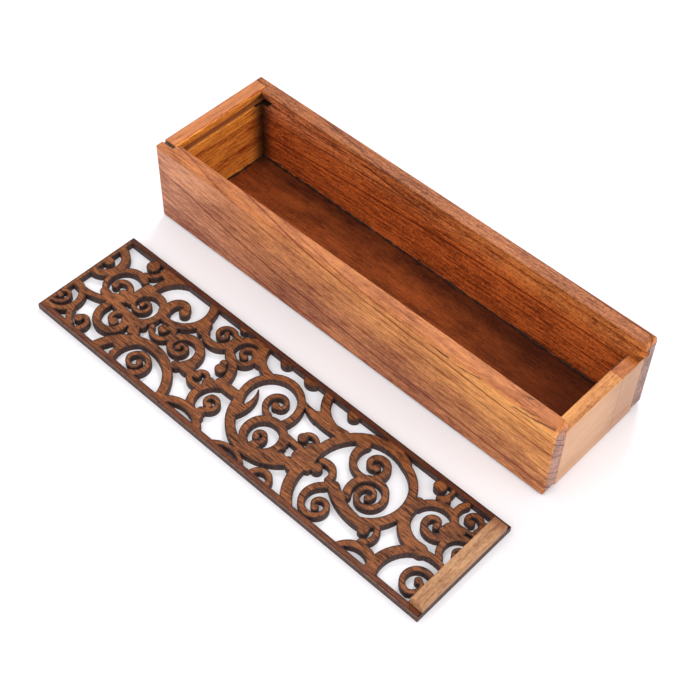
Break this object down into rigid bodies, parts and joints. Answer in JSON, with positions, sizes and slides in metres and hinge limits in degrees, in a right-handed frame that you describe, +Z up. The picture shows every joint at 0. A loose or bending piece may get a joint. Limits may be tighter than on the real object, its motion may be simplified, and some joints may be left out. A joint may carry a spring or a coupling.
{
  "type": "wooden box with sliding lid",
  "caption": "Long narrow wooden box with a low end, and a flat lid of scroll fretwork with a finger strip, which slides in grooves along the side boards and lies beside the box.",
  "frame": {"origin": "centre of the box's underside, where it rests on a table", "axes": "+X along the box to its open end, where the lid slides out; +Y from the front board to the back board; +Z up"},
  "size_m": [0.2056, 0.1296, 0.04],
  "materials": {
    "side_boards": "waxed, half matte",
    "closed_end": "waxed, half matte",
    "low_end": "waxed, half matte",
    "bottom": "waxed, half matte",
    "filler": "matte",
    "lid": "matte, cut edges darkened",
    "finger_strip": "half matte"
  },
  "bodies": {
    "box": {"front_side_board": "side_boards", "back_side_board": "side_boards", "closed_end_board": "closed_end", "low_end_board_wide": "low_end", "low_end_board_narrow": "low_end", "bottom_panel": "bottom", "corner_filler": "filler"},
    "lid": {"lid_panel": "lid", "lid_finger_strip": "finger_strip"}
  },
  "joints": [
    {"name": "lid_slide", "type": "slide", "parent": "box", "child": "lid", "axis": [1, 0, 0], "range_m": [0, 0.2]}
  ]
}
